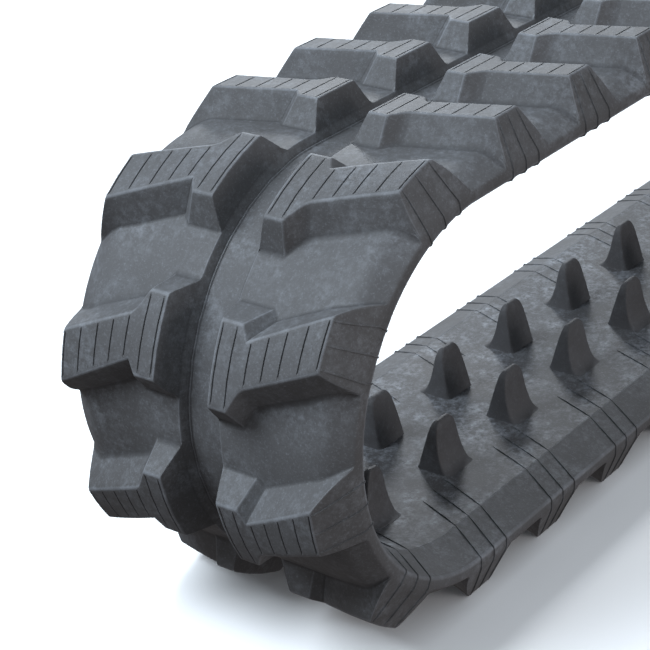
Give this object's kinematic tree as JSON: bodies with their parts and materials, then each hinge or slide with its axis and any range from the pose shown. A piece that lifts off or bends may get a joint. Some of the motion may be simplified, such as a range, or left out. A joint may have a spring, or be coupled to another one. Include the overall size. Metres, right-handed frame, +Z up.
{
  "type": "rubber track",
  "caption": "Endless rubber track of the kind small excavators use: two staggered rows of lugs outside, paired guide horns inside, steel cores and cords within.",
  "frame": {"origin": "on the ground, under the middle of the loop", "axes": "+X along the track towards the rear loop, +Y across the belt, +Z up"},
  "size_m": [1.2927, 0.18, 0.266],
  "materials": {
    "tread_rubber": "dusty matt moulded rubber",
    "cover_rubber": "dusty matt moulded rubber",
    "core_steel": "forged steel",
    "cord_steel": "brass plated steel cord"
  },
  "bodies": {
    "root": {"tread_lower": "tread_rubber", "inner_cover_lower": "cover_rubber", "cord_left_lower": "cord_steel", "cord_right_lower": "cord_steel", "core_01": "core_steel", "core_02": "core_steel", "core_03": "core_steel", "core_04": "core_steel", "core_05": "core_steel", "core_06": "core_steel", "core_07": "core_steel", "core_08": "core_steel", "core_09": "core_steel", "core_10": "core_steel", "core_11": "core_steel", "core_12": "core_steel", "core_13": "core_steel", "core_14": "core_steel", "core_15": "core_steel", "core_16": "core_steel", "core_17": "core_steel", "core_18": "core_steel", "core_19": "core_steel", "core_20": "core_steel", "core_21": "core_steel", "core_22": "core_steel", "core_23": "core_steel", "core_24": "core_steel"},
    "upper_rear": {"tread_upper_rear": "tread_rubber", "inner_cover_upper_rear": "cover_rubber", "cord_left_upper_rear": "cord_steel", "cord_right_upper_rear": "cord_steel", "core_25": "core_steel", "core_26": "core_steel", "core_27": "core_steel", "core_28": "core_steel", "core_29": "core_steel", "core_30": "core_steel", "core_31": "core_steel"},
    "upper_front": {"tread_upper_front": "tread_rubber", "inner_cover_upper_front": "cover_rubber", "cord_left_upper_front": "cord_steel", "cord_right_upper_front": "cord_steel", "core_32": "core_steel", "core_33": "core_steel", "core_34": "core_steel", "core_35": "core_steel", "core_36": "core_steel", "core_37": "core_steel"}
  },
  "joints": [
    {"name": "upper_run_sag", "type": "hinge", "parent": "root", "child": "upper_front", "pos_m": [-0.43583, 0, 0.23], "axis": [0, 1, 0], "range_deg": [0, 2], "stiffness_Nm_per_rad": 60},
    {"name": "upper_run_sag_rear", "type": "hinge", "parent": "root", "child": "upper_rear", "pos_m": [0.50017, 0, 0.23], "axis": [0, -1, 0], "range_deg": [0, 2], "stiffness_Nm_per_rad": 60}
  ],
  "couplings": [
    {"joint": "upper_run_sag_rear", "follows": "upper_run_sag", "ratio": 0.8122}
  ]
}
